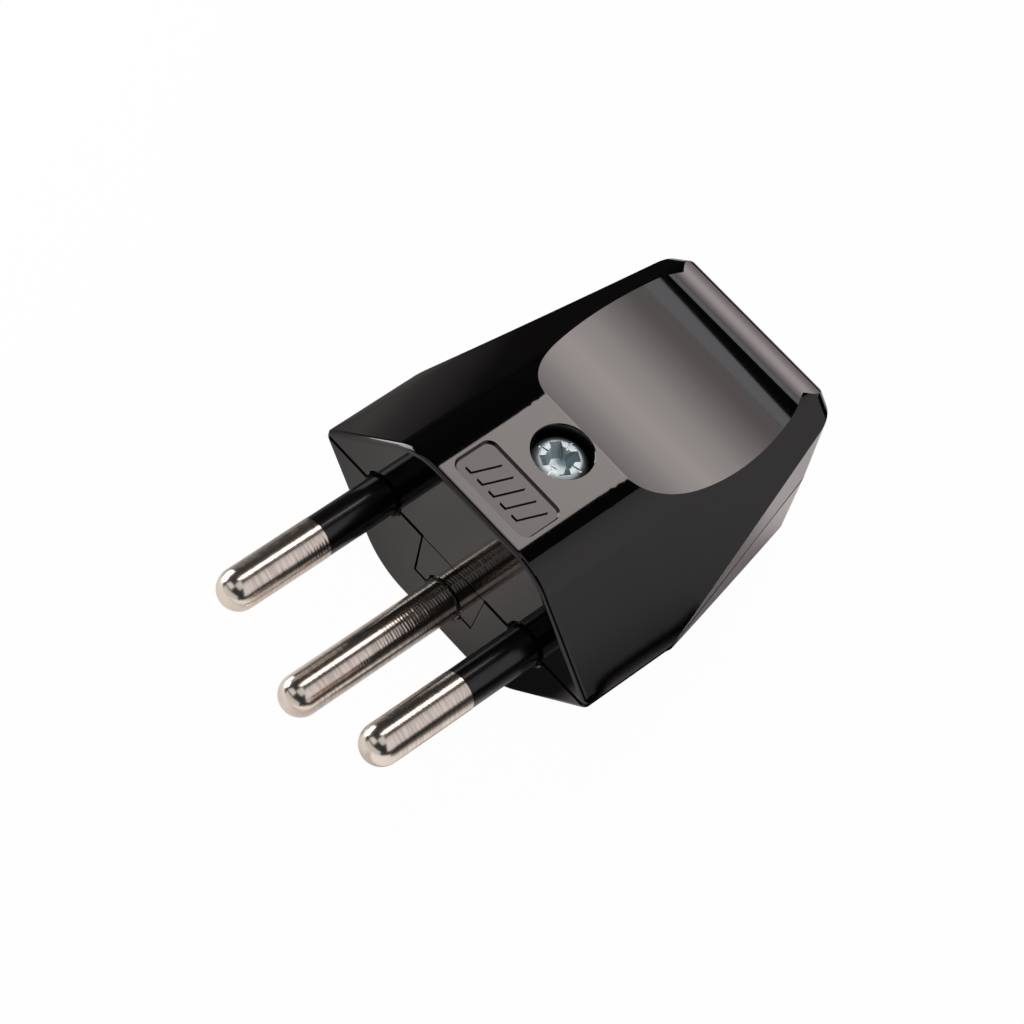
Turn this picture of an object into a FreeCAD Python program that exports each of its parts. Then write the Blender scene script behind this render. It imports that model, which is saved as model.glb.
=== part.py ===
import FreeCAD, Part
import math
import os

from FreeCAD import Vector

# Frame: the origin is the middle of the engagement face, midway between the line and neutral pins.
# The pins point along -Y, the cord leaves along +Y, and the casing screw is driven from +Z.

# Pins
pin_diameter = 4.0
pin_reach = 19.0
pin_spacing = 19.0
earth_drop = 5.0
pin_root_diameter = 4.4
pin_hole_clearance = 0.05
pin_hole_chamfer = 0.15
root_relief_depth = 0.2
root_relief_length = 0.8

# Insulating sleeves on the line and neutral pins
sleeve_reach = 8.0
sleeve_seat = 1.2
sleeve_bore = 3.0
sleeve_step = 0.03
sleeve_clearance = 0.02

# Terminal barrels, turned in one with the pins
barrel_diameter = 5.0
barrel_flat_height = 4.4
barrel_length = 9.0
barrel_chamfer = 0.3
earth_barrel_length = 3.7
wire_bore = 2.6
wire_bore_depth = 6.5
earth_wire_bore = 2.0
terminal_screw_diameter = 2.5
terminal_screw_length = 2.8
terminal_screw_stand = 1.0
terminal_screw_setback = 5.4
terminal_slot_width = 0.5
terminal_slot_depth = 0.8
thread_clearance = 0.03

# Outside of the casing
body_width = 35.2
body_height = 19.3
body_length = 35.5
straight_length = 10.0
rear_width = 21.9
rear_corner_radius = 3.6
rear_top_corner_radius = 2.6
rear_draft_deg = 0.5
front_edge_radius = 0.5
rear_edge_radius = 1.0
rear_roll_radius = 1.6
rear_roll_stations = 6
ridge_radius = 2.0
parting_gap = 0.16
lip_chamfer = 0.16
flank_spread_front = 35.5
panel_width_front = 15.6

# Upper half: its flanks sweep outward in a curve towards the rear
upper_side_draft_deg = 3.0
upper_flank_spread_rear = 38.2
upper_panel_width_rear = 17.5
upper_shoulder_front = 6.6
upper_shoulder_rear = 0.5
upper_flare_power = 2
upper_stations = 8

# Lower half: its flanks spread evenly from the end of the straight length
lower_side_draft_deg = 0.5
lower_flank_spread_rear = 44.0
lower_panel_width_rear = 21.4
lower_shoulder_front = 8.0
lower_shoulder_rear = 0.5
lower_flare_power = 1
lower_stations = 1

# Finger scoops in both faces
scoop_start = 13.5
scoop_depth = 1.85
scoop_edge_radius = 0.6
rear_rib_length = 3.0
rear_rib_radius = 3.5

# Walls and front tongue
wall = 2.0
front_wall = 3.0
least_shoulder_radius = 0.5
inner_corner_radius = 1.0
tongue_top_width = 8.2
tongue_tip_width = 7.4
tongue_clearance = 0.15
tongue_seat_shift = -0.08
witness_width = 0.14
witness_depth = 0.1

# Casing screw, its boss and its threaded insert
screw_setback = 10.6
screw_hole_diameter = 5.8
screw_hole_chamfer = 0.08
screw_head_diameter = 5.4
screw_head_height = 1.9
screw_head_sunk = 1.1
screw_diameter = 3.0
screw_length = 12.0
screw_clearance = 0.2
screw_recess_width = 3.6
screw_recess_foot = 1.7
screw_recess_slot = 1.1
screw_recess_core = 2.6
screw_recess_depth = 1.3
screw_tick_width = 0.2
screw_tick_depth = 0.12
screw_tick_length = 4.4
screw_crown = 0.95
screw_recess_turn_deg = 62.0
boss_diameter = 7.2
insert_diameter = 4.6
insert_length = 5.0
insert_clearance = 0.02
insert_well_depth = 1.6

# Marking recess with plain slanted bars
label_length = 9.8
label_width = 4.8
label_setback = 3.9
label_depth = 0.3
label_corner_radius = 1.0
label_floor_chamfer = 0.2
bar_count = 5
bar_width = 0.7
bar_length = 2.8
bar_pitch = 1.5
bar_height = 0.2
bar_slant_deg = 20.0

# Barrel cradles, stops and hold-down ribs, their offsets taken from the inside of the front wall
cradle_width = 5.8
cradle_thickness = 1.2
cradle_offsets = (1.2, 6.6)
cradle_clearance = 0.1
stop_thickness = 1.2
stop_notch_width = 3.6
hold_down_width = 3.0
hold_down_thickness = 1.0
hold_down_offsets = (1.6, 7.6)
hold_down_clearance = 0.1

# Cord inlet and cord clamp
inlet_diameter = 8.0
inlet_chamfer = 0.5
clamp_inset = 8.5
clamp_depth = 5.0
clamp_span = 19.4
clamp_wing_thickness = 1.8
clamp_arch_wall = 1.5
clamp_bore = 6.6
clamp_screw_spacing = 15.0
clamp_screw_diameter = 2.5
clamp_screw_length = 8.0
clamp_head_diameter = 4.4
clamp_head_height = 1.6
clamp_slot_width = 0.6
clamp_slot_depth = 0.8
clamp_hole_clearance = 0.15
post_diameter = 4.6
post_rise = 1.0
saddle_width = 9.0
saddle_thickness = 0.9
saddle_offset = 1.4

# How far a cutting body runs past the face that it cuts
overlap = 1.0

# Values that follow from the sizes above
half_height = body_height / 2
half_gap = parting_gap / 2
pin_radius = pin_diameter / 2
root_radius = pin_root_diameter / 2
relief_radius = pin_radius - root_relief_depth
hole_radius = root_radius + pin_hole_clearance
barrel_radius = barrel_diameter / 2
barrel_flat = barrel_flat_height / 2
rear_inside = body_length - wall
ridge_step = (flank_spread_front - body_width) / 2
scoop_end = body_length - rear_rib_length
clamp_y = body_length - clamp_inset
head_seat = half_height - screw_head_sunk - screw_head_height
screw_radius = screw_diameter / 2
inlet_radius = inlet_diameter / 2
cord_radius = clamp_bore / 2
clamp_x = clamp_screw_spacing / 2
clamp_top = post_rise + clamp_wing_thickness
barrel_end = front_wall + barrel_length
terminal_y = front_wall + terminal_screw_setback
earth_terminal_y = front_wall + earth_barrel_length / 2
side_taper = math.atan((body_width - rear_width) / 2 / (body_length - straight_length))

pin_places = {
    "line": (-pin_spacing / 2, 0),
    "neutral": (pin_spacing / 2, 0),
    "earth": (0, -earth_drop),
}

upper_form = {
    "draft_deg": upper_side_draft_deg,
    "spread_rear": upper_flank_spread_rear,
    "panel_rear": upper_panel_width_rear,
    "shoulder_front": upper_shoulder_front,
    "shoulder_rear": upper_shoulder_rear,
    "flare_power": upper_flare_power,
    "stations": upper_stations,
}
lower_form = {
    "draft_deg": lower_side_draft_deg,
    "spread_rear": lower_flank_spread_rear,
    "panel_rear": lower_panel_width_rear,
    "shoulder_front": lower_shoulder_front,
    "shoulder_rear": lower_shoulder_rear,
    "flare_power": lower_flare_power,
    "stations": lower_stations,
}

along_y = Vector(0, 1, 0)
along_z = Vector(0, 0, 1)
middle = Vector(0, 0, 0)


def box(x_from, x_to, y_from, y_to, z_from, z_to):
    corner = Vector(x_from, y_from, z_from)
    return Part.makeBox(x_to - x_from, y_to - y_from, z_to - z_from, corner)


def rod(radius, start, end):
    axis = end - start
    return Part.makeCylinder(radius, axis.Length, start, axis)


def rod_along_y(radius, x, z, y_from, y_to):
    return rod(radius, Vector(x, y_from, z), Vector(x, y_to, z))


def rod_along_z(radius, x, y, z_from, z_to):
    return rod(radius, Vector(x, y, z_from), Vector(x, y, z_to))


def flare_along_y(x, z, radius_from, radius_to, y_from, y_to):
    return Part.makeCone(radius_from, radius_to, y_to - y_from, Vector(x, y_from, z), along_y)


def prism(points, direction):
    """A straight block on a flat outline."""
    face = Part.Face(Part.makePolygon(points + points[:1]))
    return face.extrude(direction)


def toward_rear(y, front_value, rear_value, power):
    """A size that is constant over the straight length and then grows to the rear face."""
    share = max(0.0, (y - straight_length) / (body_length - straight_length))
    return front_value + (rear_value - front_value) * share ** power


def roof_section(form, y, inset):
    """Ridge, flank, shoulder and panel at one place along the casing, set in by a wall."""
    power = form["flare_power"]
    spread = toward_rear(y, flank_spread_front, form["spread_rear"], power) / 2
    panel = toward_rear(y, panel_width_front, form["panel_rear"], power) / 2
    radius = toward_rear(min(y, body_length), form["shoulder_front"], form["shoulder_rear"], power)
    angle = math.atan2(half_height, spread - panel)
    height = half_height - inset
    base = spread - inset / math.sin(angle)
    corner = base - height / math.tan(angle)
    radius = max(radius - inset, least_shoulder_radius)
    reach = radius * math.tan(angle / 2)
    flank_x = corner + reach * math.cos(angle)
    flank_z = height - reach * math.sin(angle)
    panel_x = corner - reach
    bend_x = panel_x + radius * math.sin(angle / 2)
    bend_z = height - radius + radius * math.cos(angle / 2)
    half_turn = (math.pi / 2 - angle) / 2
    ridge_reach = ridge_radius * math.tan(half_turn)
    ridge_z = ridge_step * math.tan(angle)
    side_x = base - ridge_step
    side_z = ridge_z - ridge_reach
    turn_x = side_x - ridge_reach * math.cos(angle)
    turn_z = ridge_z + ridge_reach * math.sin(angle)
    round_x = side_x - ridge_radius + ridge_radius * math.cos(half_turn)
    round_z = side_z + ridge_radius * math.sin(half_turn)
    low_right = Vector(side_x, y, side_z - overlap)
    low_left = Vector(-side_x, y, side_z - overlap)
    side_right = Vector(side_x, y, side_z)
    side_left = Vector(-side_x, y, side_z)
    turn_right = Vector(turn_x, y, turn_z)
    turn_left = Vector(-turn_x, y, turn_z)
    flank_right = Vector(flank_x, y, flank_z)
    flank_left = Vector(-flank_x, y, flank_z)
    panel_right = Vector(panel_x, y, height)
    panel_left = Vector(-panel_x, y, height)
    edges = [
        Part.makeLine(low_left, low_right),
        Part.makeLine(low_right, side_right),
        Part.Arc(side_right, Vector(round_x, y, round_z), turn_right).toShape(),
        Part.makeLine(turn_right, flank_right),
        Part.Arc(flank_right, Vector(bend_x, y, bend_z), panel_right).toShape(),
        Part.makeLine(panel_right, panel_left),
        Part.Arc(panel_left, Vector(-bend_x, y, bend_z), flank_left).toShape(),
        Part.makeLine(flank_left, turn_left),
        Part.Arc(turn_left, Vector(-round_x, y, round_z), side_left).toShape(),
        Part.makeLine(side_left, low_left),
    ]
    return Part.Wire(edges)


def roof(form, inset):
    """Panel and flanks of one half, lofted through even sections, then rolled in to the rear face."""
    roll_start = body_length - rear_roll_radius
    step = (roll_start - straight_length) / form["stations"]
    start = roof_section(form, -overlap, inset)
    places = [straight_length + step * index for index in range(form["stations"] + 1)]
    flared = [roof_section(form, y, inset) for y in places]
    rolled = []
    for index in range(rear_roll_stations + 1):
        turn = math.pi / 2 * index / rear_roll_stations
        y = roll_start + rear_roll_radius * math.sin(turn)
        rolled.append(roof_section(form, y, inset + rear_roll_radius * (1 - math.cos(turn))))
    is_ruled = form["stations"] == 1
    straight_part = Part.makeLoft([start, flared[0]], True, True)
    flared_part = Part.makeLoft(flared, True, is_ruled)
    rolled_part = Part.makeLoft(rolled, True, False)
    return straight_part.multiFuse([flared_part, rolled_part]).removeSplitter()


def plan_outline(z, inset, rear_inset, corner_radius):
    """Seen from above: straight sides, tapered sides and a rear face with rounded corners."""
    half = body_width / 2 - inset
    rear = body_length - rear_inset
    line_half = body_width / 2 - inset / math.cos(side_taper)
    bend = straight_length - inset * math.tan(side_taper / 2)
    corner = line_half - (rear - straight_length) * math.tan(side_taper)
    turn = math.pi / 2 - side_taper
    reach = corner_radius * math.tan(turn / 2)
    side_x = corner + reach * math.sin(side_taper)
    side_y = rear - reach * math.cos(side_taper)
    rear_x = corner - reach
    heading = (side_taper + math.pi / 2) / 2
    arc_x = rear_x + corner_radius * math.cos(heading)
    arc_y = rear - corner_radius + corner_radius * math.sin(heading)
    front_right = Vector(half, -overlap, z)
    front_left = Vector(-half, -overlap, z)
    bend_right = Vector(half, bend, z)
    bend_left = Vector(-half, bend, z)
    side_right = Vector(side_x, side_y, z)
    side_left = Vector(-side_x, side_y, z)
    rear_right = Vector(rear_x, rear, z)
    rear_left = Vector(-rear_x, rear, z)
    edges = [
        Part.makeLine(front_left, front_right),
        Part.makeLine(front_right, bend_right),
        Part.makeLine(bend_right, side_right),
        Part.Arc(side_right, Vector(arc_x, arc_y, z), rear_right).toShape(),
        Part.makeLine(rear_right, rear_left),
        Part.Arc(rear_left, Vector(-arc_x, arc_y, z), side_left).toShape(),
        Part.makeLine(side_left, bend_left),
        Part.makeLine(bend_left, front_left),
    ]
    return Part.Wire(edges)


def plan(form, inset):
    """Sides and rear face of one half, drawn in and tighter at the corners away from the parting plane."""
    slope = math.tan(math.radians(form["draft_deg"]))
    rear_slope = math.tan(math.radians(rear_draft_deg))
    growth = (rear_top_corner_radius - rear_corner_radius) / half_height
    outlines = []
    for z in (-overlap, half_height + overlap):
        radius = max(rear_corner_radius + growth * z - inset, inner_corner_radius)
        outlines.append(plan_outline(z, inset + z * slope, inset + z * rear_slope, radius))
    return Part.makeLoft(outlines, True, True)


def scoop_circle():
    """Middle and radius of the arc through the scoop's two ends and its deepest point."""
    chord = scoop_end - scoop_start
    radius = (chord ** 2 / 4 + scoop_depth ** 2) / (2 * scoop_depth)
    return (scoop_start + scoop_end) / 2, half_height - scoop_depth + radius, radius


def across(edges):
    """A block as wide as the casing on a closed outline drawn in the YZ plane."""
    face = Part.Face(Part.Wire(edges))
    face.translate(Vector(-body_width, 0, 0))
    return face.extrude(Vector(2 * body_width, 0, 0))


def scoop_rounding(rounding):
    """From the scoop's middle: where a rounding leaves the panel's height, and where it meets the scoop."""
    scoop_y, scoop_z, radius = scoop_circle()
    rise = scoop_z - half_height + rounding
    offset = math.sqrt((radius + rounding) ** 2 - rise ** 2)
    share = rounding / (radius + rounding)
    return offset, offset * (1 - share), half_height - rounding + rise * share


def side_profile():
    """Seen from the side: front face, panel, scoop, rounded rear rib and rear face."""
    scoop_y, scoop_z, radius = scoop_circle()
    panel_offset, front_offset, front_z = scoop_rounding(scoop_edge_radius)
    crest_offset, rear_offset, rear_z = scoop_rounding(rear_rib_radius)
    half_turn = math.asin(panel_offset / (radius + scoop_edge_radius)) / 2
    bend_y = scoop_y - panel_offset + scoop_edge_radius * math.sin(half_turn)
    bend_z = half_height - scoop_edge_radius + scoop_edge_radius * math.cos(half_turn)
    crest_y = scoop_y + crest_offset
    rib_z = half_height - rear_rib_radius
    edge_y = body_length - rear_edge_radius
    apart = rear_rib_radius - rear_edge_radius
    fall = math.asin((edge_y - crest_y) / apart)
    edge_z = rib_z + apart * math.cos(fall)
    edge_turn = (fall + math.pi / 2) / 2
    front_low = Vector(0, 0, -overlap)
    front_high = Vector(0, 0, half_height)
    panel_end = Vector(0, scoop_y - panel_offset, half_height)
    panel_bend = Vector(0, bend_y, bend_z)
    scoop_front = Vector(0, scoop_y - front_offset, front_z)
    scoop_low = Vector(0, scoop_y, half_height - scoop_depth)
    scoop_rear = Vector(0, scoop_y + rear_offset, rear_z)
    rib_crest = Vector(0, crest_y, half_height)
    rib_y = crest_y + rear_rib_radius * math.sin(fall)
    rib_rear = Vector(0, rib_y, rib_z + rear_rib_radius * math.cos(fall))
    turn_y = edge_y + rear_edge_radius * math.sin(edge_turn)
    rear_turn = Vector(0, turn_y, edge_z + rear_edge_radius * math.cos(edge_turn))
    rear_high = Vector(0, body_length, edge_z)
    rear_low = Vector(0, body_length, -overlap)
    edges = [
        Part.makeLine(front_low, front_high),
        Part.makeLine(front_high, panel_end),
        Part.Arc(panel_end, panel_bend, scoop_front).toShape(),
        Part.Arc(scoop_front, scoop_low, scoop_rear).toShape(),
        Part.Arc(scoop_rear, rib_crest, rib_rear).toShape(),
        Part.Arc(rib_rear, rear_turn, rear_high).toShape(),
        Part.makeLine(rear_high, rear_low),
        Part.makeLine(rear_low, front_low),
    ]
    return across(edges)


def inner_profile():
    """The same view of the hollow: front wall, a roof that follows the scoop, rear wall."""
    scoop_y, scoop_z, radius = scoop_circle()
    roof_z = half_height - wall
    offset = math.sqrt((radius + wall) ** 2 - (scoop_z - roof_z) ** 2)
    end_z = scoop_z - math.sqrt((radius + wall) ** 2 - (rear_inside - scoop_y) ** 2)
    front_low = Vector(0, front_wall, -overlap)
    front_high = Vector(0, front_wall, roof_z)
    arc_start = Vector(0, scoop_y - offset, roof_z)
    arc_low = Vector(0, scoop_y, roof_z - scoop_depth)
    arc_end = Vector(0, rear_inside, end_z)
    rear_low = Vector(0, rear_inside, -overlap)
    edges = [
        Part.makeLine(front_low, front_high),
        Part.makeLine(front_high, arc_start),
        Part.Arc(arc_start, arc_low, arc_end).toShape(),
        Part.makeLine(arc_end, rear_low),
        Part.makeLine(rear_low, front_low),
    ]
    return across(edges)


def filled_half(form):
    """The outside of one half as a filled block, its front edges rounded and its parting edge chamfered."""
    above_gap = box(-body_width, body_width, -overlap, body_length + overlap, half_gap, body_height)
    shape = roof(form, 0).common(plan(form, 0)).common(side_profile()).common(above_gap)
    front_face = min(shape.Faces, key=lambda face: face.CenterOfMass.y)
    lowest = parting_gap + front_edge_radius
    outline = [edge for edge in front_face.Edges if edge.CenterOfMass.z > lowest]
    shape = shape.makeFillet(front_edge_radius, outline)
    parting_face = min(shape.Faces, key=lambda face: face.CenterOfMass.z)
    return shape.makeChamfer(lip_chamfer, parting_face.Edges)


def hollow_half(form):
    """The space inside one half, open through the parting plane."""
    return roof(form, wall).common(plan(form, wall)).common(inner_profile())


def tongue_outline(clearance, tip_z, y):
    top = tongue_top_width / 2 + clearance
    tip = tongue_tip_width / 2 + clearance
    return [
        Vector(-top, y, half_gap),
        Vector(-tip, y, tip_z),
        Vector(tip, y, tip_z),
        Vector(top, y, half_gap),
        Vector(top, y, wall),
        Vector(-top, y, wall),
    ]


def tongue(clearance, tip_z):
    """The wedge of the upper front wall that closes the earth pin's hole from above."""
    return prism(tongue_outline(clearance, tip_z, 0), Vector(0, front_wall, 0))


def tongue_mouth(clearance, tip_z):
    """The tongue's seat where it opens in the front face, chamfered along its lower edge."""
    wide = tongue_outline(clearance, tip_z - lip_chamfer, 0)
    narrow = tongue_outline(clearance, tip_z, lip_chamfer)
    sections = [Part.makePolygon(points + points[:1]) for points in (wide, narrow)]
    return Part.makeLoft(sections, True, True)


def witness_line():
    """The fine straight line that the mould leaves across the tongue at the parting plane."""
    half = witness_width / 2
    reach = tongue_top_width / 2
    return box(-reach, reach, 0, witness_depth, -half, half)


def pin_holes():
    """Holes for the three pins through the front wall, with a small lead-in at the face."""
    holes = []
    for x, z in pin_places.values():
        mouth_radius = hole_radius + pin_hole_chamfer
        holes.append(rod_along_y(hole_radius, x, z, -overlap, front_wall))
        holes.append(flare_along_y(x, z, mouth_radius, hole_radius, 0, pin_hole_chamfer))
    return holes


def cord_inlet():
    """The round way in for the cord, half in each shell, with a lead-in at the rear face."""
    hole = rod_along_y(inlet_radius, 0, 0, rear_inside - overlap, body_length + overlap)
    mouth_start = body_length - inlet_chamfer
    mouth_radius = inlet_radius + inlet_chamfer
    mouth = flare_along_y(0, 0, inlet_radius, mouth_radius, mouth_start, body_length)
    return [hole, mouth]


def screw_hole():
    """The way down to the casing screw's head, chamfered at the panel."""
    radius = screw_hole_diameter / 2
    mouth_radius = radius + screw_hole_chamfer
    mouth = Vector(0, screw_setback, half_height - screw_hole_chamfer)
    hole = rod_along_z(radius, 0, screw_setback, head_seat, body_height)
    return [hole, Part.makeCone(radius, mouth_radius, screw_hole_chamfer, mouth, along_z)]


def marking_recess():
    """The shallow rectangle with rounded corners that is sunk into the panel, chamfered round its floor."""
    x = label_length / 2
    near = label_setback - label_width / 2
    far = label_setback + label_width / 2
    plate = box(-x, x, near, far, half_height - label_depth, body_height)
    uprights = [edge for edge in plate.Edges if abs(edge.tangentAt(edge.FirstParameter).z) > 0.5]
    plate = plate.makeFillet(label_corner_radius, uprights)
    floor = min(plate.Faces, key=lambda face: face.CenterOfMass.z)
    return plate.makeChamfer(label_floor_chamfer, floor.Edges)


def marking_bars():
    """Plain slanted bars that stand in the marking recess."""
    floor = half_height - label_depth
    lean = bar_length / 2 * math.tan(math.radians(bar_slant_deg))
    bars = []
    for index in range(bar_count):
        x = (index - (bar_count - 1) / 2) * bar_pitch
        near = label_setback - bar_length / 2
        far = label_setback + bar_length / 2
        outline = [
            Vector(x - lean - bar_width / 2, near, floor - label_depth),
            Vector(x - lean + bar_width / 2, near, floor - label_depth),
            Vector(x + lean + bar_width / 2, far, floor - label_depth),
            Vector(x + lean - bar_width / 2, far, floor - label_depth),
        ]
        bars.append(prism(outline, Vector(0, 0, label_depth + bar_height)))
    return bars


def upper_shell():
    filled = filled_half(upper_form)
    shell = filled.cut(hollow_half(upper_form))
    boss = rod_along_z(boss_diameter / 2, 0, screw_setback, 0, half_height)
    boss_foot = rod_along_z(boss_diameter / 2, 0, screw_setback, 0, parting_gap)
    added = [boss.common(filled), boss_foot, tongue(0, half_gap - earth_drop)]
    for name in ("line", "neutral"):
        x = pin_places[name][0]
        half = hold_down_width / 2
        low = barrel_flat + hold_down_clearance
        for offset in hold_down_offsets:
            y = front_wall + offset
            rib = box(x - half, x + half, y, y + hold_down_thickness, low, half_height)
            added.append(rib.common(filled))
    shell = shell.multiFuse(added)
    removed = pin_holes() + cord_inlet()
    removed.append(witness_line())
    removed += screw_hole()
    removed.append(rod_along_z(screw_radius + screw_clearance, 0, screw_setback, -overlap, head_seat))
    removed.append(marking_recess())
    shell = shell.cut(Part.makeCompound(removed))
    return shell.multiFuse(marking_bars()).removeSplitter()


def barrel_seat(x):
    """The round barrel with its lower flat, eased all round but resting on the flat."""
    radius = barrel_radius + cradle_clearance
    barrel = rod_along_y(radius, x, 0, front_wall, barrel_end)
    above = box(x - radius, x + radius, front_wall, barrel_end, -barrel_flat, radius)
    return barrel.common(above)


def lower_shell():
    filled = filled_half(lower_form).mirror(middle, along_z)
    shell = filled.cut(hollow_half(lower_form).mirror(middle, along_z))
    boss = rod_along_z(boss_diameter / 2, 0, screw_setback, -half_height, 0)
    boss_head = rod_along_z(boss_diameter / 2, 0, screw_setback, -parting_gap, 0)
    added = [boss.common(filled), boss_head]
    for name in ("line", "neutral"):
        x = pin_places[name][0]
        half = cradle_width / 2
        for offset in cradle_offsets:
            y = front_wall + offset
            cradle = box(x - half, x + half, y, y + cradle_thickness, -half_height, -parting_gap)
            added.append(cradle.common(filled).cut(barrel_seat(x)))
        stop_end = barrel_end + stop_thickness
        stop = box(x - half, x + half, barrel_end, stop_end, -half_height, -parting_gap)
        notch = rod_along_y(stop_notch_width / 2, x, 0, barrel_end, stop_end)
        added.append(stop.common(filled).cut(notch))
    pad_end = front_wall + earth_barrel_length
    pad = box(-barrel_radius, barrel_radius, front_wall, pad_end, -half_height, -earth_drop - barrel_flat)
    added.append(pad.common(filled))
    for side in (-1, 1):
        x = side * clamp_x
        post = rod_along_z(post_diameter / 2, x, clamp_y, -half_height, 0)
        added.append(post.common(filled))
        added.append(rod_along_z(post_diameter / 2, x, clamp_y, -parting_gap, post_rise))
        y = clamp_y + side * saddle_offset - saddle_thickness / 2
        half = saddle_width / 2
        saddle = box(-half, half, y, y + saddle_thickness, -half_height, -parting_gap)
        cord = rod_along_y(cord_radius, 0, 0, y, y + saddle_thickness)
        added.append(saddle.common(filled).cut(cord))
    shell = shell.multiFuse(added)
    removed = pin_holes() + cord_inlet()
    for seat in (tongue, tongue_mouth):
        opening = seat(tongue_clearance, -half_gap - earth_drop)
        opening.translate(Vector(tongue_seat_shift, 0, 0))
        removed.append(opening)
    insert_hole = insert_diameter / 2 + insert_clearance
    removed.append(rod_along_z(insert_hole, 0, screw_setback, -insert_length, overlap))
    well = insert_length + insert_well_depth
    removed.append(rod_along_z(screw_radius + screw_clearance, 0, screw_setback, -well, overlap))
    post_hole = clamp_screw_diameter / 2
    post_hole_end = clamp_top - clamp_screw_length - overlap
    for side in (-1, 1):
        removed.append(rod_along_z(post_hole, side * clamp_x, clamp_y, post_hole_end, body_height))
    return shell.cut(Part.makeCompound(removed)).removeSplitter()


def contact_outline(neck_end):
    """Half outline of a pin's tip and contact, from the axis at the tip to the end of the bare metal."""
    tip = Vector(0, -pin_reach, 0)
    side = Vector(pin_radius, -pin_reach + pin_radius, 0)
    bend = pin_radius * math.sqrt(0.5)
    between = Vector(bend, -pin_reach + pin_radius - bend, 0)
    end = Vector(pin_radius, neck_end, 0)
    return [Part.Arc(tip, between, side).toShape(), Part.makeLine(side, end)], end


def turned_pin(edges, start, stations, place):
    """Turn a pin about its axis: the given edges, then straight runs to (radius, y) stations."""
    outline = list(edges)
    here = start
    for radius, y in stations:
        there = Vector(radius, y, 0)
        outline.append(Part.makeLine(here, there))
        here = there
    outline.append(Part.makeLine(here, Vector(0, -pin_reach, 0)))
    face = Part.Face(Part.Wire(outline))
    pin = face.revolve(middle, along_y, 360)
    pin.translate(Vector(place[0], 0, place[1]))
    return pin


def barrel_stations(end):
    return [
        (barrel_radius, front_wall),
        (barrel_radius, end - barrel_chamfer),
        (barrel_radius - barrel_chamfer, end),
        (0, end),
    ]


def barrel_cuts(place, y_end, screw_y):
    """The two flats of a barrel and its tapped hole."""
    x, z = place
    wide = barrel_diameter
    top = box(x - wide, x + wide, front_wall, y_end, z + barrel_flat, z + wide)
    bottom = box(x - wide, x + wide, front_wall, y_end, z - wide, z - barrel_flat)
    tapped = rod_along_z(terminal_screw_diameter / 2, x, screw_y, z, z + wide)
    return [top, bottom, tapped]


def sleeved_pin(name):
    """Line or neutral pin: a contact, a neck for the sleeve, a root and a terminal barrel."""
    place = pin_places[name]
    neck = sleeve_bore / 2
    edges, start = contact_outline(-sleeve_reach)
    stations = [
        (neck, -sleeve_reach),
        (neck, sleeve_seat),
        (root_radius, sleeve_seat),
        (root_radius, front_wall),
    ]
    pin = turned_pin(edges, start, stations + barrel_stations(barrel_end), place)
    cuts = barrel_cuts(place, barrel_end, terminal_y)
    cuts.append(rod_along_y(wire_bore / 2, place[0], place[1], barrel_end - wire_bore_depth, barrel_end))
    return pin.cut(Part.makeCompound(cuts))


def earth_pin():
    """Bare earth pin with a short barrel that takes its wire from the side."""
    place = pin_places["earth"]
    end = front_wall + earth_barrel_length
    edges, start = contact_outline(0)
    stations = [
        (relief_radius, 0),
        (relief_radius, root_relief_length),
        (root_radius, root_relief_length),
        (root_radius, front_wall),
    ]
    pin = turned_pin(edges, start, stations + barrel_stations(end), place)
    cuts = barrel_cuts(place, end, earth_terminal_y)
    near = Vector(-barrel_diameter, earth_terminal_y, place[1])
    far = Vector(barrel_diameter, earth_terminal_y, place[1])
    cuts.append(rod(earth_wire_bore / 2, near, far))
    return pin.cut(Part.makeCompound(cuts))


def sleeve(name):
    """A tube over the pin's neck, relieved at the face, with a flange that fills the hole behind it."""
    x, z = pin_places[name]
    tube = rod_along_y(pin_radius - sleeve_step, x, z, -sleeve_reach, 0)
    neck = rod_along_y(relief_radius, x, z, 0, root_relief_length)
    flange = rod_along_y(root_radius, x, z, root_relief_length, sleeve_seat)
    bore = rod_along_y(sleeve_bore / 2 + sleeve_clearance, x, z, -sleeve_reach, sleeve_seat)
    return tube.multiFuse([neck, flange]).cut(bore).removeSplitter()


def slotted(screw, x, y, top, radius, slot_width, slot_depth):
    half = slot_width / 2
    return screw.cut(box(x - radius, x + radius, y - half, y + half, top - slot_depth, top))


def terminal_screws():
    """One headless slotted screw in each barrel, backed off as for an empty terminal."""
    radius = terminal_screw_diameter / 2 - thread_clearance
    screws = []
    for name, (x, z) in pin_places.items():
        y = earth_terminal_y if name == "earth" else terminal_y
        top = z + barrel_flat + terminal_screw_stand
        screw = rod_along_z(radius, x, y, top - terminal_screw_length, top)
        screws.append(slotted(screw, x, y, top, radius, terminal_slot_width, terminal_slot_depth))
    return Part.makeCompound(screws)


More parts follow.
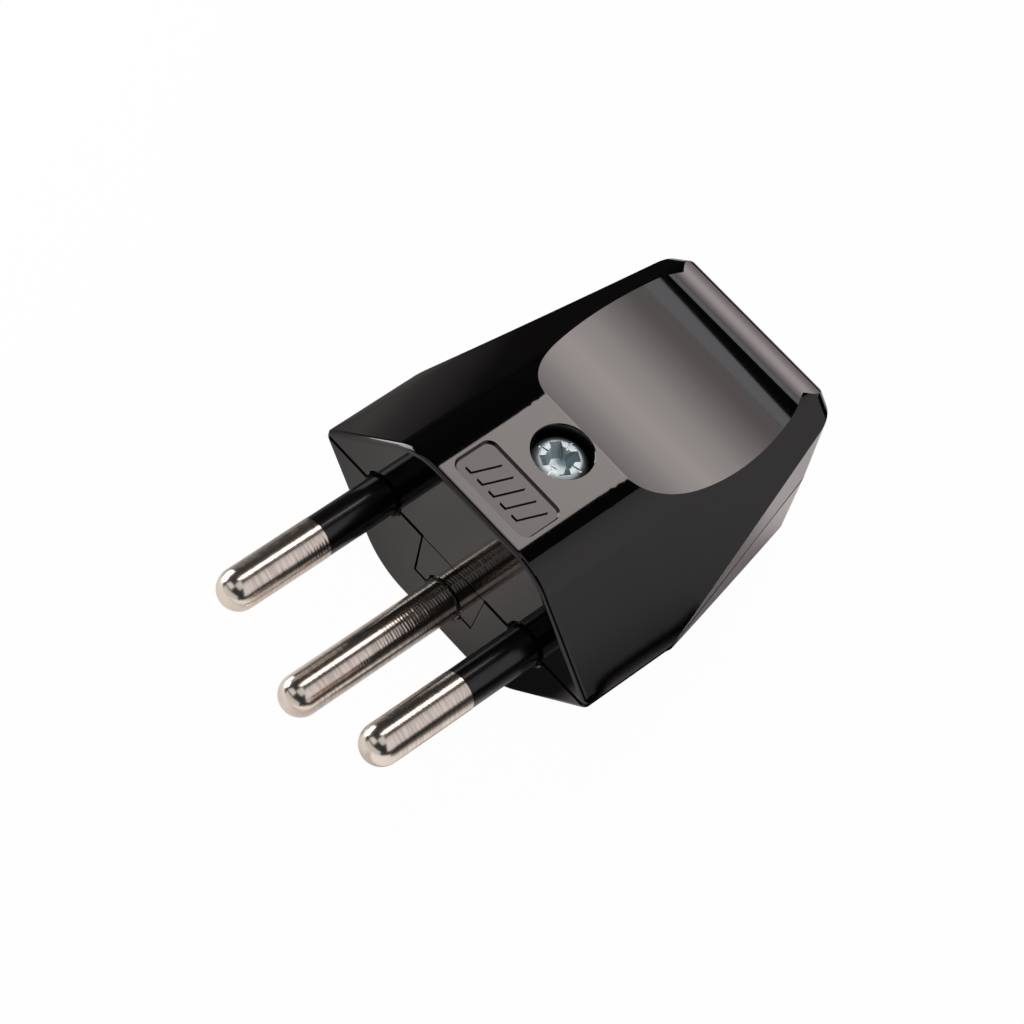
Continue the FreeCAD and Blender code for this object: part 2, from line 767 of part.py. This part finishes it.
def casing_screw():
    """Pan-head machine screw with a tapered cross recess and four tick marks between its arms."""
    top = head_seat + screw_head_height
    foot = top - screw_recess_depth
    head = rod_along_z(screw_head_diameter / 2, 0, screw_setback, head_seat, top)
    rim = [edge for edge in head.Edges if edge.BoundBox.ZMin > top - screw_crown]
    head = head.makeFillet(screw_crown, rim)
    screw = head.fuse(rod_along_z(screw_radius, 0, screw_setback, head_seat - screw_length, head_seat))
    centre = Vector(0, screw_setback, 0)
    slot = screw_recess_slot / 2
    tick = screw_tick_length / 2
    line = screw_tick_width / 2
    point = Vector(0, screw_setback, foot)
    cuts = [Part.makeCone(0, screw_recess_core / 2, screw_recess_depth, point, along_z)]
    for turn in (0, 90):
        outline = [
            Vector(-screw_recess_foot / 2, screw_setback - slot, foot),
            Vector(screw_recess_foot / 2, screw_setback - slot, foot),
            Vector(screw_recess_width / 2, screw_setback - slot, top),
            Vector(-screw_recess_width / 2, screw_setback - slot, top),
        ]
        arm = prism(outline, Vector(0, screw_recess_slot, 0))
        mark = box(-tick, tick, screw_setback - line, screw_setback + line, top - screw_tick_depth, top)
        arm.rotate(centre, along_z, turn + screw_recess_turn_deg)
        mark.rotate(centre, along_z, turn + 45 + screw_recess_turn_deg)
        cuts += [arm, mark]
    return screw.cut(Part.makeCompound(cuts)).removeSplitter()


def threaded_insert():
    ring = rod_along_z(insert_diameter / 2, 0, screw_setback, -insert_length, 0)
    return ring.cut(rod_along_z(screw_radius + thread_clearance, 0, screw_setback, -insert_length, 0))


def cord_clamp():
    """A bar with an arch over the cord, held down by a screw at each end."""
    half_span = clamp_span / 2
    near = clamp_y - clamp_depth / 2
    far = clamp_y + clamp_depth / 2
    wings = box(-half_span, half_span, near, far, post_rise, clamp_top)
    arch = rod_along_y(cord_radius + clamp_arch_wall, 0, 0, near, far)
    above = box(-half_span, half_span, near, far, post_rise, body_height)
    cuts = [rod_along_y(cord_radius, 0, 0, near, far)]
    for side in (-1, 1):
        radius = clamp_screw_diameter / 2 + clamp_hole_clearance
        cuts.append(rod_along_z(radius, side * clamp_x, clamp_y, 0, body_height))
    return wings.fuse(arch.common(above)).cut(Part.makeCompound(cuts)).removeSplitter()


def clamp_screws():
    """Two cheese-head screws that hold the clamp on its posts."""
    top = clamp_top + clamp_head_height
    shank_radius = clamp_screw_diameter / 2 - thread_clearance
    head_radius = clamp_head_diameter / 2
    screws = []
    for side in (-1, 1):
        x = side * clamp_x
        shank = rod_along_z(shank_radius, x, clamp_y, top - clamp_screw_length, top)
        head = rod_along_z(head_radius, x, clamp_y, clamp_top, top)
        screw = shank.fuse(head).removeSplitter()
        screws.append(slotted(screw, x, clamp_y, top, head_radius, clamp_slot_width, clamp_slot_depth))
    return Part.makeCompound(screws)


pieces = {
    "upper_shell": upper_shell(),
    "lower_shell": lower_shell(),
    "casing_screw": casing_screw(),
    "threaded_insert": threaded_insert(),
    "line_pin": sleeved_pin("line"),
    "neutral_pin": sleeved_pin("neutral"),
    "earth_pin": earth_pin(),
    "line_sleeve": sleeve("line"),
    "neutral_sleeve": sleeve("neutral"),
    "terminal_screws": terminal_screws(),
    "cord_clamp": cord_clamp(),
    "clamp_screws": clamp_screws(),
}

os.makedirs("parts", exist_ok=True)
for name, piece in pieces.items():
    piece.exportStep("parts/" + name + ".step")
    print(name, "valid" if piece.isValid() else "not valid", len(piece.Solids), round(piece.Volume, 2))
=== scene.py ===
import math

import bmesh
import bpy
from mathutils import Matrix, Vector


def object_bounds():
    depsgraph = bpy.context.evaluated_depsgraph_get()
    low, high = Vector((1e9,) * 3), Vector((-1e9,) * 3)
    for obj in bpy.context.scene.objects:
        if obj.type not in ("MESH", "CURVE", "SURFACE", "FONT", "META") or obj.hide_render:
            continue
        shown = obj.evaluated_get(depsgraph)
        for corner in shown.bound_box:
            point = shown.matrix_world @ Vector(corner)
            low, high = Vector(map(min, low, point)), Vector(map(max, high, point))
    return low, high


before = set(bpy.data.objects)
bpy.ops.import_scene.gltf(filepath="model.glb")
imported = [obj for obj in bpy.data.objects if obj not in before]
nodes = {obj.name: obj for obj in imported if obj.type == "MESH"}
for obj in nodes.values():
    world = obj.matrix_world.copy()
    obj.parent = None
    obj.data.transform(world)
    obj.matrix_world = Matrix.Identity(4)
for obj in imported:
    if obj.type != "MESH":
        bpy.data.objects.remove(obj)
cadLow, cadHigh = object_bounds()
mm = 0.001
print("frame loaded:", len(nodes), "pieces")


def hexColour(code):
    # sRGB hex to the linear values that the shaders take
    channels = [int(code[i:i + 2], 16) / 255 for i in (1, 3, 5)]
    return [c / 12.92 if c <= 0.04045 else ((c + 0.055) / 1.055) ** 2.4 for c in channels] + [1.0]


def perMm(size):
    # texture scale that gives features of this size in millimetres
    return 1 / (size * mm)


def wavePerMm(pitch):
    # a wave texture of scale 1 repeats every pi / 10
    return perMm(pitch) * math.pi / 10


def addNode(tree, kind, settings=None, links=None):
    # a socket goes by its name or by its number
    node = tree.nodes.new(kind)
    for name, value in (settings or {}).items():
        if isinstance(name, int) or name in node.inputs:
            node.inputs[name].default_value = value
        else:
            setattr(node, name, value)
    for name, socket in (links or {}).items():
        tree.links.new(socket, node.inputs[name])
    return node


def newMaterial(name):
    material = bpy.data.materials.new(name)
    material.use_nodes = True
    tree = material.node_tree
    tree.nodes.clear()
    place = addNode(tree, "ShaderNodeTexCoord").outputs["Object"]
    return material, tree, place


def closeMaterial(tree, shader):
    addNode(tree, "ShaderNodeOutputMaterial", links={"Surface": shader.outputs[0]})


def insideBox(tree, place, middleMm, halfMm):
    # 1 inside a box given in millimetres, 0 outside it
    apart = addNode(tree, "ShaderNodeVectorMath",
                    {"operation": "SUBTRACT", 1: Vector(middleMm) * mm}, {0: place})
    apart = addNode(tree, "ShaderNodeVectorMath", {"operation": "ABSOLUTE"}, {0: apart.outputs[0]})
    apart = addNode(tree, "ShaderNodeVectorMath",
                    {"operation": "DIVIDE", 1: Vector(halfMm) * mm}, {0: apart.outputs[0]})
    axes = addNode(tree, "ShaderNodeSeparateXYZ", links={0: apart.outputs[0]})
    farthest = addNode(tree, "ShaderNodeMath", {"operation": "MAXIMUM"},
                       {0: axes.outputs["X"], 1: axes.outputs["Y"]})
    farthest = addNode(tree, "ShaderNodeMath", {"operation": "MAXIMUM"},
                       {0: farthest.outputs[0], 1: axes.outputs["Z"]})
    inside = addNode(tree, "ShaderNodeMath", {"operation": "LESS_THAN", 1: 1.0}, {0: farthest.outputs[0]})
    return inside.outputs[0]


def fadedPatch(tree, axes, fades):
    # product of soft steps, each given by its axis, its span in millimetres and the levels at the span's ends
    steps = [addNode(tree, "ShaderNodeMapRange",
                     {"interpolation_type": "SMOOTHSTEP", 1: start * mm, 2: end * mm, 3: first, 4: last},
                     {0: axes.outputs[axis]}).outputs[0]
             for axis, (start, end), (first, last) in fades]
    patch = steps[0]
    for step in steps[1:]:
        patch = addNode(tree, "ShaderNodeMath", {"operation": "MULTIPLY"}, {0: patch, 1: step}).outputs[0]
    return patch


blackAbs = {"colour": "#040304", "roughness": 0.05, "ior": 1.54,
            "waveMm": 6.0, "waveDepthMm": 0.001,
            "recessMiddleMm": (0.0, 3.9, 9.3), "recessHalfMm": (4.95, 2.45, 0.26), "recessRoughness": 0.2,
            "ridgeMiddleMm": (0.0, 8.0, 2.3), "ridgeHalfMm": (20.0, 8.0, 2.25), "ridgeFromMm": 12.5,
            "ridgeFades": [("Y", (1.2, 4.0), (0.0, 1.0)), ("Y", (7.0, 15.5), (1.0, 0.0))],
            "ridgeEaseMm": 1.8, "ridgeSamples": 8}


def polishedMouldedAbs():
    # ABS from a polished mould: deep black with mirror-sharp reflections that waver a little over thick
    # places, and duller in the marking recess, where the mould carries an unpolished insert
    material, tree, place = newMaterial("polishedMouldedAbs")
    recess = insideBox(tree, place, blackAbs["recessMiddleMm"], blackAbs["recessHalfMm"])
    polish = addNode(tree, "ShaderNodeMapRange",
                     {3: blackAbs["roughness"], 4: blackAbs["recessRoughness"]}, {0: recess})
    # the upper shell's ridge between flank and side is shaded softer, from just behind the front edge on,
    # and this runs out to the rear
    axes = addNode(tree, "ShaderNodeSeparateXYZ", links={0: place})
    across = addNode(tree, "ShaderNodeMath", {"operation": "ABSOLUTE"}, {0: axes.outputs["X"]})
    outer = addNode(tree, "ShaderNodeMath", {"operation": "GREATER_THAN", 1: blackAbs["ridgeFromMm"] * mm},
                    {0: across.outputs[0]})
    ridge = insideBox(tree, place, blackAbs["ridgeMiddleMm"], blackAbs["ridgeHalfMm"])
    ridge = addNode(tree, "ShaderNodeMath", {"operation": "MULTIPLY"}, {0: ridge, 1: outer.outputs[0]})
    ridge = addNode(tree, "ShaderNodeMath", {"operation": "MULTIPLY"},
                    {0: ridge.outputs[0], 1: fadedPatch(tree, axes, blackAbs["ridgeFades"])})
    sharp = addNode(tree, "ShaderNodeNewGeometry")
    soft = addNode(tree, "ShaderNodeBevel",
                   {"samples": blackAbs["ridgeSamples"], "Radius": blackAbs["ridgeEaseMm"] * mm})
    eased = addNode(tree, "ShaderNodeMix", {"data_type": "VECTOR"},
                    {0: ridge.outputs[0], 4: sharp.outputs["Normal"], 5: soft.outputs["Normal"]})
    eased = addNode(tree, "ShaderNodeVectorMath", {"operation": "NORMALIZE"}, {0: eased.outputs[1]})
    wave = addNode(tree, "ShaderNodeTexNoise", {"Scale": perMm(blackAbs["waveMm"]), "Detail": 1.0},
                   {"Vector": place})
    bump = addNode(tree, "ShaderNodeBump", {"Strength": 1.0, "Distance": blackAbs["waveDepthMm"] * mm},
                   {"Height": wave.outputs["Fac"], "Normal": eased.outputs[0]})
    shader = addNode(tree, "ShaderNodeBsdfPrincipled",
                     {"Base Color": hexColour(blackAbs["colour"]), "IOR": blackAbs["ior"]},
                     {"Normal": bump.outputs["Normal"], "Roughness": polish.outputs[0]})
    closeMaterial(tree, shader)
    return material


nickelBrass = {"colour": "#F0E6DA", "grooveColour": "#DACFC4", "grooveRange": (0.38, 0.6), "roughness": 0.2,
               "pitchMm": 0.33, "pitchDepthMm": 0.005, "waver": 1.2, "waverScale": 0.3,
               "lineMm": 0.3, "lineDepthMm": 0.022, "lineStretch": (0.12, 1.0, 0.12),
               "smoothToMm": -17.2, "hatchFromMm": -16.2, "tipHatch": 0.05}


def turnedNickelBrass():
    # nickel plate over turned brass: warm silver, the feed marks of the tool run round each pin and hatch
    # what it mirrors, drawn about three times as coarse as a real feed so that they still show
    material, tree, place = newMaterial("turnedNickelBrass")
    axes = addNode(tree, "ShaderNodeSeparateXYZ", links={0: place})
    # the rounded tips are almost smooth
    hatched = addNode(tree, "ShaderNodeMapRange",
                      {1: nickelBrass["smoothToMm"] * mm, 2: nickelBrass["hatchFromMm"] * mm,
                       3: nickelBrass["tipHatch"], 4: 1.0}, {0: axes.outputs["Y"]})
    feed = addNode(tree, "ShaderNodeTexWave",
                   {"wave_type": "BANDS", "bands_direction": "Y", "wave_profile": "SIN",
                    "Scale": wavePerMm(nickelBrass["pitchMm"]), "Distortion": nickelBrass["waver"],
                    "Detail": 1.0, "Detail Scale": nickelBrass["waverScale"]}, {"Vector": place})
    marks = addNode(tree, "ShaderNodeBump", {"Distance": nickelBrass["pitchDepthMm"] * mm},
                    {"Height": feed.outputs["Fac"], "Strength": hatched.outputs[0]})
    along = addNode(tree, "ShaderNodeMapping", {"Scale": nickelBrass["lineStretch"]}, {"Vector": place})
    lines = addNode(tree, "ShaderNodeTexNoise", {"Scale": perMm(nickelBrass["lineMm"]), "Detail": 2.0},
                    {"Vector": along.outputs["Vector"]})
    bump = addNode(tree, "ShaderNodeBump", {"Distance": nickelBrass["lineDepthMm"] * mm},
                   {"Height": lines.outputs["Fac"], "Normal": marks.outputs["Normal"],
                    "Strength": hatched.outputs[0]})
    # some of the lines are a little darker than the metal between them
    groove = addNode(tree, "ShaderNodeMapRange",
                     {1: nickelBrass["grooveRange"][0], 2: nickelBrass["grooveRange"][1]},
                     {0: lines.outputs["Fac"]})
    groove = addNode(tree, "ShaderNodeMath", {"operation": "MULTIPLY"},
                     {0: groove.outputs[0], 1: hatched.outputs[0]})
    tone = addNode(tree, "ShaderNodeMix",
                   {"data_type": "RGBA", 6: hexColour(nickelBrass["colour"]),
                    7: hexColour(nickelBrass["grooveColour"])}, {0: groove.outputs[0]})
    shader = addNode(tree, "ShaderNodeBsdfPrincipled",
                     {"Metallic": 1.0, "Roughness": nickelBrass["roughness"]},
                     {"Base Color": tone.outputs[2], "Normal": bump.outputs["Normal"]})
    closeMaterial(tree, shader)
    return material


sleevePlastic = {"colour": "#08070A", "roughness": 0.2, "ior": 1.53, "grainMm": 0.35, "grainDepthMm": 0.004}


def mouldedPolyamide():
    # polyamide moulded over the pins: black with a soft lengthwise gleam, a little uneven from the mould's
    # grain, which is drawn coarser than a real one so that it shows
    material, tree, place = newMaterial("mouldedPolyamide")
    grain = addNode(tree, "ShaderNodeTexNoise", {"Scale": perMm(sleevePlastic["grainMm"]), "Detail": 2.0},
                    {"Vector": place})
    bump = addNode(tree, "ShaderNodeBump", {"Strength": 1.0, "Distance": sleevePlastic["grainDepthMm"] * mm},
                   {"Height": grain.outputs["Fac"]})
    shader = addNode(tree, "ShaderNodeBsdfPrincipled",
                     {"Base Color": hexColour(sleevePlastic["colour"]), "IOR": sleevePlastic["ior"],
                      "Roughness": sleevePlastic["roughness"]},
                     {"Normal": bump.outputs["Normal"]})
    closeMaterial(tree, shader)
    return material


zincSteel = {"colour": "#CBDADD", "roughness": 0.46, "grainMm": 0.25, "grainDepthMm": 0.012}


def zincPlatedSteel():
    # zinc plate with a bluish passivation over a cold-headed screw: small uneven patches that glint
    material, tree, place = newMaterial("zincPlatedSteel")
    grain = addNode(tree, "ShaderNodeTexNoise", {"Scale": perMm(zincSteel["grainMm"]), "Detail": 2.0},
                    {"Vector": place})
    bump = addNode(tree, "ShaderNodeBump", {"Strength": 1.0, "Distance": zincSteel["grainDepthMm"] * mm},
                   {"Height": grain.outputs["Fac"]})
    shader = addNode(tree, "ShaderNodeBsdfPrincipled",
                     {"Base Color": hexColour(zincSteel["colour"]), "Metallic": 1.0,
                      "Roughness": zincSteel["roughness"]},
                     {"Normal": bump.outputs["Normal"]})
    closeMaterial(tree, shader)
    return material


bareBrass = {"colour": "#D3AE62", "roughness": 0.3, "pitchMm": 0.2, "pitchDepthMm": 0.006, "waver": 0.6}


def turnedBareBrass():
    # turned brass without plating: warm yellow, slightly dull, ringed by the feed marks of the tool
    material, tree, place = newMaterial("turnedBareBrass")
    feed = addNode(tree, "ShaderNodeTexWave",
                   {"wave_type": "BANDS", "bands_direction": "Z", "wave_profile": "SIN",
                    "Scale": wavePerMm(bareBrass["pitchMm"]), "Distortion": bareBrass["waver"]},
                   {"Vector": place})
    marks = addNode(tree, "ShaderNodeBump", {"Strength": 1.0, "Distance": bareBrass["pitchDepthMm"] * mm},
                    {"Height": feed.outputs["Fac"]})
    shader = addNode(tree, "ShaderNodeBsdfPrincipled",
                     {"Base Color": hexColour(bareBrass["colour"]), "Metallic": 1.0,
                      "Roughness": bareBrass["roughness"]},
                     {"Normal": marks.outputs["Normal"]})
    closeMaterial(tree, shader)
    return material


finishes = [
    (polishedMouldedAbs(), ["upper_shell", "lower_shell", "cord_clamp"]),
    (turnedNickelBrass(), ["line_pin", "neutral_pin", "earth_pin"]),
    (mouldedPolyamide(), ["line_sleeve", "neutral_sleeve"]),
    (zincPlatedSteel(), ["casing_screw", "terminal_screws", "clamp_screws"]),
    (turnedBareBrass(), ["threaded_insert"]),
]
for material, names in finishes:
    for name in names:
        nodes[name].data.materials.clear()
        nodes[name].data.materials.append(material)
print("finishes on:", len(finishes))


def stagePiece(name, bm):
    mesh = bpy.data.meshes.new(name)
    bm.to_mesh(mesh)
    bm.free()
    piece = bpy.data.objects.new(name, mesh)
    bpy.context.scene.collection.objects.link(piece)
    return piece


# seen directly the paper is nearly all white. In reflections it shows painted light and painted shade that
# stand in for lit and shadowed paper, in a warm tint: fall darkens it by the distance from middleXMm times
# the distance behind fromYMm, in square millimetres, the painted light patches add light and the painted
# shadow takes some away
floorPaper = {"size": 1.2, "whiteSeen": 0.98, "tint": "#FFF9F7", "middleXMm": 8.0, "fromYMm": -30.0,
              "fall": [(0, 1.0), (400, 0.9), (800, 0.5), (1400, 0.22), (2300, 0.28), (2900, 0.34),
                       (3400, 0.18), (4600, 0.03)],
              # painted light: patches where the paper looks brighter, in reflections only
              "frontPaintedLight": [("X", (-1.0, 9.0), (0.5, 0.1)), ("Y", (-5.0, 10.0), (1.0, 0.0))],
              "rearPaintedLight": [("X", (4.0, 14.0), (0.0, 0.7)), ("Y", (30.0, 38.0), (0.0, 1.0))],
              "rightPaintedLight": [("X", (11.5, 14.5), (0.0, 0.7)), ("Y", (-2.0, 4.0), (1.0, 0.0))],
              "behindPaintedLight": [("X", (-45.0, -28.0), (0.0, 1.0)), ("X", (28.0, 45.0), (1.0, 0.0)),
                              ("Y", (42.0, 60.0), (0.0, 1.0))],
              # painted shadow of the plug on the paper at its front right, seen only in reflections
              "rightPaintedShadow": [("X", (5.0, 8.5), (0.0, 0.85)), ("X", (11.5, 13.5), (1.0, 0.0)),
                             ("Y", (-12.0, -8.5), (0.0, 1.0)), ("Y", (2.0, 9.0), (1.0, 0.0))]}


def paleFloor():
    bm = bmesh.new()
    bmesh.ops.create_grid(bm, x_segments=1, y_segments=1, size=floorPaper["size"])
    bmesh.ops.translate(bm, verts=bm.verts, vec=(0, 0, cadLow.z))
    floor = stagePiece("floor", bm)
    material, tree, place = newMaterial("paleFloorPaper")
    path = addNode(tree, "ShaderNodeLightPath")
    axes = addNode(tree, "ShaderNodeSeparateXYZ", links={0: place})

    across = addNode(tree, "ShaderNodeMath", {"operation": "SUBTRACT", 1: floorPaper["middleXMm"] * mm},
                     {0: axes.outputs["X"]})
    across = addNode(tree, "ShaderNodeMath", {"operation": "ABSOLUTE"}, {0: across.outputs[0]})
    back = addNode(tree, "ShaderNodeMath", {"operation": "SUBTRACT", 1: floorPaper["fromYMm"] * mm},
                   {0: axes.outputs["Y"]})
    back = addNode(tree, "ShaderNodeMath", {"operation": "MAXIMUM", 1: 0.0}, {0: back.outputs[0]})
    away = addNode(tree, "ShaderNodeMath", {"operation": "MULTIPLY"},
                   {0: across.outputs[0], 1: back.outputs[0]})
    reach = floorPaper["fall"][-1][0]
    away = addNode(tree, "ShaderNodeMath", {"operation": "DIVIDE", 1: reach * mm * mm}, {0: away.outputs[0]})
    # painted shade: in reflections the paper darkens with this distance, by the levels of fall
    ramp = addNode(tree, "ShaderNodeValToRGB", links={0: away.outputs[0]})
    stops = ramp.color_ramp.elements
    stops.remove(stops[1])
    for area, level in floorPaper["fall"]:
        stop = stops.new(area / reach) if area else stops[0]
        stop.color = [level * c for c in hexColour(floorPaper["tint"])[:3]] + [1.0]

    # the painted shadow darkens the paper in reflections at the plug's front right
    unshaded = addNode(tree, "ShaderNodeMath", {"operation": "SUBTRACT", 0: 1.0},
                       {1: fadedPatch(tree, axes, floorPaper["rightPaintedShadow"])})
    mirrored = addNode(tree, "ShaderNodeVectorMath", {"operation": "SCALE"},
                       {0: ramp.outputs["Color"], "Scale": unshaded.outputs[0]})
    # painted light behind the plug: reflections see the paper white there
    behind = fadedPatch(tree, axes, floorPaper["behindPaintedLight"])
    mirrored = addNode(tree, "ShaderNodeVectorMath", {"operation": "MAXIMUM"},
                       {0: mirrored.outputs[0], 1: behind})
    # the painted light patches give the share of glowing white that reflections see
    lit = behind
    for name in ("frontPaintedLight", "rearPaintedLight", "rightPaintedLight"):
        lit = addNode(tree, "ShaderNodeMath", {"operation": "ADD"},
                      {0: lit, 1: fadedPatch(tree, axes, floorPaper[name])}).outputs[0]

    # glossy rays see the paper with its painted light and painted shade, other rays see it white
    shade = addNode(tree, "ShaderNodeMix", {"data_type": "RGBA", 6: (1, 1, 1, 1)},
                    {0: path.outputs["Is Glossy Ray"], 7: mirrored.outputs[0]})
    paper = addNode(tree, "ShaderNodeBsdfDiffuse", links={"Color": shade.outputs[2]})
    white = addNode(tree, "ShaderNodeEmission", {"Strength": 1.0}, {"Color": shade.outputs[2]})
    seen = addNode(tree, "ShaderNodeMath", {"operation": "MAXIMUM"},
                   {0: path.outputs["Is Camera Ray"], 1: path.outputs["Is Transmission Ray"]})
    seen = addNode(tree, "ShaderNodeMath", {"operation": "MULTIPLY", 1: floorPaper["whiteSeen"]},
                   {0: seen.outputs[0]})
    share = addNode(tree, "ShaderNodeMath", {"operation": "MULTIPLY_ADD"},
                    {0: path.outputs["Is Glossy Ray"], 1: lit, 2: seen.outputs[0]})
    shader = addNode(tree, "ShaderNodeMixShader",
                     links={0: share.outputs[0], 1: paper.outputs[0], 2: white.outputs[0]})
    closeMaterial(tree, shader)
    floor.data.materials.append(material)


def lightCloth(name, rows, colour="#FFFFFF"):
    # a sheet of lit cloth through rows of (left end, right end, brightness), where 1 is white
    bm = bmesh.new()
    level = bm.verts.layers.float.new("level")
    bmesh.ops.create_grid(bm, x_segments=1, y_segments=len(rows) - 1, size=1)
    verts = iter(sorted(bm.verts, key=lambda vert: (vert.co.y, vert.co.x)))
    for left, right, brightness in rows:
        for end in (left, right):
            vert = next(verts)
            vert.co = end
            vert[level] = brightness
    cloth = stagePiece(name, bm)
    cloth.visible_camera = False
    material, tree = newMaterial(name)[:2]
    bright = addNode(tree, "ShaderNodeAttribute", {"attribute_name": "level"})
    glow = addNode(tree, "ShaderNodeEmission", {"Color": hexColour(colour)},
                   {"Strength": bright.outputs["Fac"]})
    closeMaterial(tree, glow)
    cloth.data.materials.append(material)


# the curved sheets lie on arcs of this radius in metres about the aim, and give their ends in radii
studio = {"aimMm": (0, 8, 4), "radius": 0.6, "worldLevel": 0.02}
# a barrel-shaped strip from low behind the plug to overhead: degrees above the rear horizon, brightness
overheadStrip = {"left": -0.42, "right": -0.19, "colour": "#FFF4F2",
                 "rows": [(2, 1.2), (14, 1.8), (26.4, 3.24), (35.4, 4.78), (44.3, 5.65), (58, 4.86),
                          (71.4, 2.7), (76.5, 1.95), (79, 1.8), (84, 1.8)]}
# its cooler overhead end, cut on a slant: left angle, right angle, brightness
stripEnd = {"colour": "#F7F9FC", "rows": [(84, 84, 2.2), (93.3, 86.2, 2.15)]}
# a dimmer sheet to the right: angle down from overhead, front end, brightness
sideSheet = {"rear": 3.0, "colour": "#FBF5F9",
             "rows": [(9, 0.2, 0.54), (20, 0.05, 0.66), (35, -0.15, 0.74), (60, -0.25, 0.74),
                      (69.5, -0.28, 0.7), (71.3, -0.28, 0.6), (72.8, -0.29, 0.22), (74.5, -0.3, 0.04)]}
# flat sheets in metres: a small bright one to the left and a low one in front
leftBox = {"x": -0.12, "y": (-0.07, 0.02), "z": (-0.0095, 0.045), "level": 5.5}
frontSheet = {"x": (-0.45, 0.45), "y": (-0.5, -0.5), "z": (-0.009, 0.22), "level": 0.6}
# two more that light the sides and the back of the plug: one high in front, one above the pins
highFront = {"x": (-0.6, -0.05), "y": (-0.5, -0.5), "z": (0.3, 0.75), "level": 0.7}
abovePins = {"x": (-0.1, 0.35), "y": (-0.35, 0.04), "z": (0.6, 0.6), "level": 0.6}


def softLight():
    aim = Vector(studio["aimMm"]) * mm

    def onRearArc(side, angle):
        turn = math.radians(angle)
        return aim + studio["radius"] * Vector((side, math.cos(turn), math.sin(turn)))

    def onSideArc(end, angle):
        turn = math.radians(angle)
        return aim + studio["radius"] * Vector((math.sin(turn), end, math.cos(turn)))

    left, right = overheadStrip["left"], overheadStrip["right"]
    rows = [(onRearArc(left, angle), onRearArc(right, angle), level)
            for angle, level in overheadStrip["rows"]]
    lightCloth("overheadStrip", rows, overheadStrip["colour"])
    rows = [(onRearArc(left, leftAngle), onRearArc(right, rightAngle), level)
            for leftAngle, rightAngle, level in stripEnd["rows"]]
    lightCloth("stripEnd", rows, stripEnd["colour"])
    rows = [(onSideArc(front, angle), onSideArc(sideSheet["rear"], angle), level)
            for angle, front, level in sideSheet["rows"]]
    lightCloth("sideSheet", rows, sideSheet["colour"])

    x, (front, rear) = leftBox["x"], leftBox["y"]
    lightCloth("leftBox", [((x, front, z), (x, rear, z), leftBox["level"]) for z in leftBox["z"]])
    for name, sheet in (("frontSheet", frontSheet), ("highFront", highFront), ("abovePins", abovePins)):
        left, right = sheet["x"]
        rows = [((left, y, z), (right, y, z), sheet["level"]) for y, z in zip(sheet["y"], sheet["z"])]
        lightCloth(name, rows)


paleFloor()
softLight()

world = bpy.data.worlds.new("studio")
bpy.context.scene.world = world
world.use_nodes = True
background = world.node_tree.nodes["Background"]
background.inputs["Color"].default_value = (1, 1, 1, 1)
background.inputs["Strength"].default_value = studio["worldLevel"]

# fitted to the three pins in the photograph
cameraPlace = {"location": (0.111908, -0.182195, 0.318938), "turn": (33.0962, -11.4372, 47.6553),
               "lens": 153.241, "sensor": 36, "clipStart": 0.01}
camera = bpy.data.cameras.new("camera")
camera.lens = cameraPlace["lens"]
camera.sensor_width = cameraPlace["sensor"]
camera.clip_start = cameraPlace["clipStart"]
cameraObject = bpy.data.objects.new("camera", camera)
cameraObject.location = cameraPlace["location"]
cameraObject.rotation_euler = [math.radians(angle) for angle in cameraPlace["turn"]]
bpy.context.scene.collection.objects.link(cameraObject)
bpy.context.scene.camera = cameraObject
bpy.context.scene.view_settings.view_transform = "Standard"
print("stage set")
